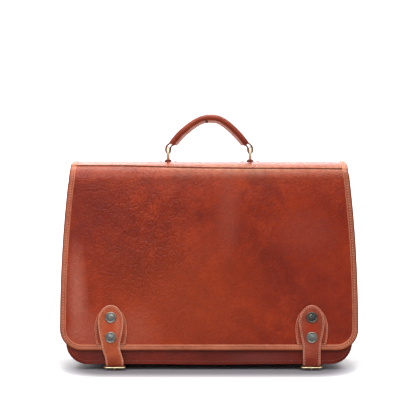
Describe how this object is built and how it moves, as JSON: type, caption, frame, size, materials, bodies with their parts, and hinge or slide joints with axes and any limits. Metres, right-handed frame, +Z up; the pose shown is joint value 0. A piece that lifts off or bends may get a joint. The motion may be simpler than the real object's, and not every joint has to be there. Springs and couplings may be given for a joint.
{
  "type": "leather briefcase",
  "caption": "Flap-over leather briefcase with edge-bound flap, snap-stud straps buckled under the base and a rolled top handle on rings.",
  "frame": {"origin": "on the floor, under the middle of the whole outline", "axes": "+Z up, +X to the right as seen from the front, the front flap faces -Y"},
  "size_m": [0.4208, 0.12, 0.36],
  "materials": {
    "flap_leather": "glossy",
    "body_leather": "satin",
    "binding_leather": "satin",
    "strap_leather": "satin",
    "handle_leather": "satin",
    "lining": "matte",
    "board": "matte",
    "cord": "matte",
    "brass": "polished",
    "stud_metal": "antique"
  },
  "bodies": {
    "case": {"front_panel": "body_leather", "back_panel": "body_leather", "gusset_left": "body_leather", "gusset_right": "body_leather", "base_panel": "body_leather", "base_board": "board", "front_lining": "lining", "back_lining": "lining", "divider": "body_leather", "strap_tail_left": "strap_leather", "strap_tail_right": "strap_leather", "buckle_frame_left": "brass", "buckle_frame_right": "brass", "chape_left": "strap_leather", "chape_right": "strap_leather", "chape_rivets": "brass"},
    "flap_top": {"flap_top": "flap_leather", "flap_top_lining": "lining", "handle_bar": "board", "top_binding_left": "binding_leather", "top_binding_right": "binding_leather", "ring_loop_left": "handle_leather", "ring_loop_right": "handle_leather", "loop_rivets": "brass"},
    "flap_front": {"flap_front": "flap_leather", "flap_lining": "lining", "flap_binding": "binding_leather", "patch_left": "flap_leather", "patch_right": "flap_leather", "stud_posts": "stud_metal"},
    "strap_left": {"strap_left": "strap_leather", "stud_caps_left": "stud_metal"},
    "strap_right": {"strap_right": "strap_leather", "stud_caps_right": "stud_metal"},
    "handle": {"handle_core": "cord", "handle_wrap": "handle_leather", "handle_tab_left": "handle_leather", "handle_tab_right": "handle_leather"},
    "ring_left": {"ring_left": "brass"},
    "ring_right": {"ring_right": "brass"},
    "tongue_left": {"tongue_left": "brass"},
    "tongue_right": {"tongue_right": "brass"}
  },
  "joints": [
    {"name": "top_fold", "type": "hinge", "parent": "case", "child": "flap_top", "pos_m": [0, 0.04448, 0.281], "axis": [-1, 0, 0], "range_deg": [0, 110]},
    {"name": "flap_fold", "type": "hinge", "parent": "flap_top", "child": "flap_front", "pos_m": [0, -0.03582, 0.2832], "axis": [-1, 0, 0], "range_deg": [0, 135]},
    {"name": "strap_left_swing", "type": "hinge", "parent": "case", "child": "strap_left", "pos_m": [-0.133, -0.0571, 0.01385], "axis": [1, 0, 0], "range_deg": [0, 94]},
    {"name": "strap_right_swing", "type": "hinge", "parent": "case", "child": "strap_right", "pos_m": [0.1445, -0.0571, 0.01385], "axis": [1, 0, 0], "range_deg": [0, 94]},
    {"name": "handle_swing", "type": "hinge", "parent": "flap_top", "child": "handle", "pos_m": [0, 0.00498, 0.3032], "axis": [-1, 0, 0], "range_deg": [-75, 75]},
    {"name": "ring_left_spin", "type": "hinge", "parent": "handle", "child": "ring_left", "pos_m": [-0.0587, 0.00498, 0.3032], "axis": [1, 0, 0], "continuous": true},
    {"name": "ring_right_spin", "type": "hinge", "parent": "handle", "child": "ring_right", "pos_m": [0.0587, 0.00498, 0.3032], "axis": [1, 0, 0], "continuous": true},
    {"name": "tongue_left_swing", "type": "hinge", "parent": "case", "child": "tongue_left", "pos_m": [-0.133, -0.03852, 0.0069], "axis": [1, 0, 0], "range_deg": [0, 60]},
    {"name": "tongue_right_swing", "type": "hinge", "parent": "case", "child": "tongue_right", "pos_m": [0.1445, -0.03852, 0.0069], "axis": [1, 0, 0], "range_deg": [0, 60]}
  ]
}
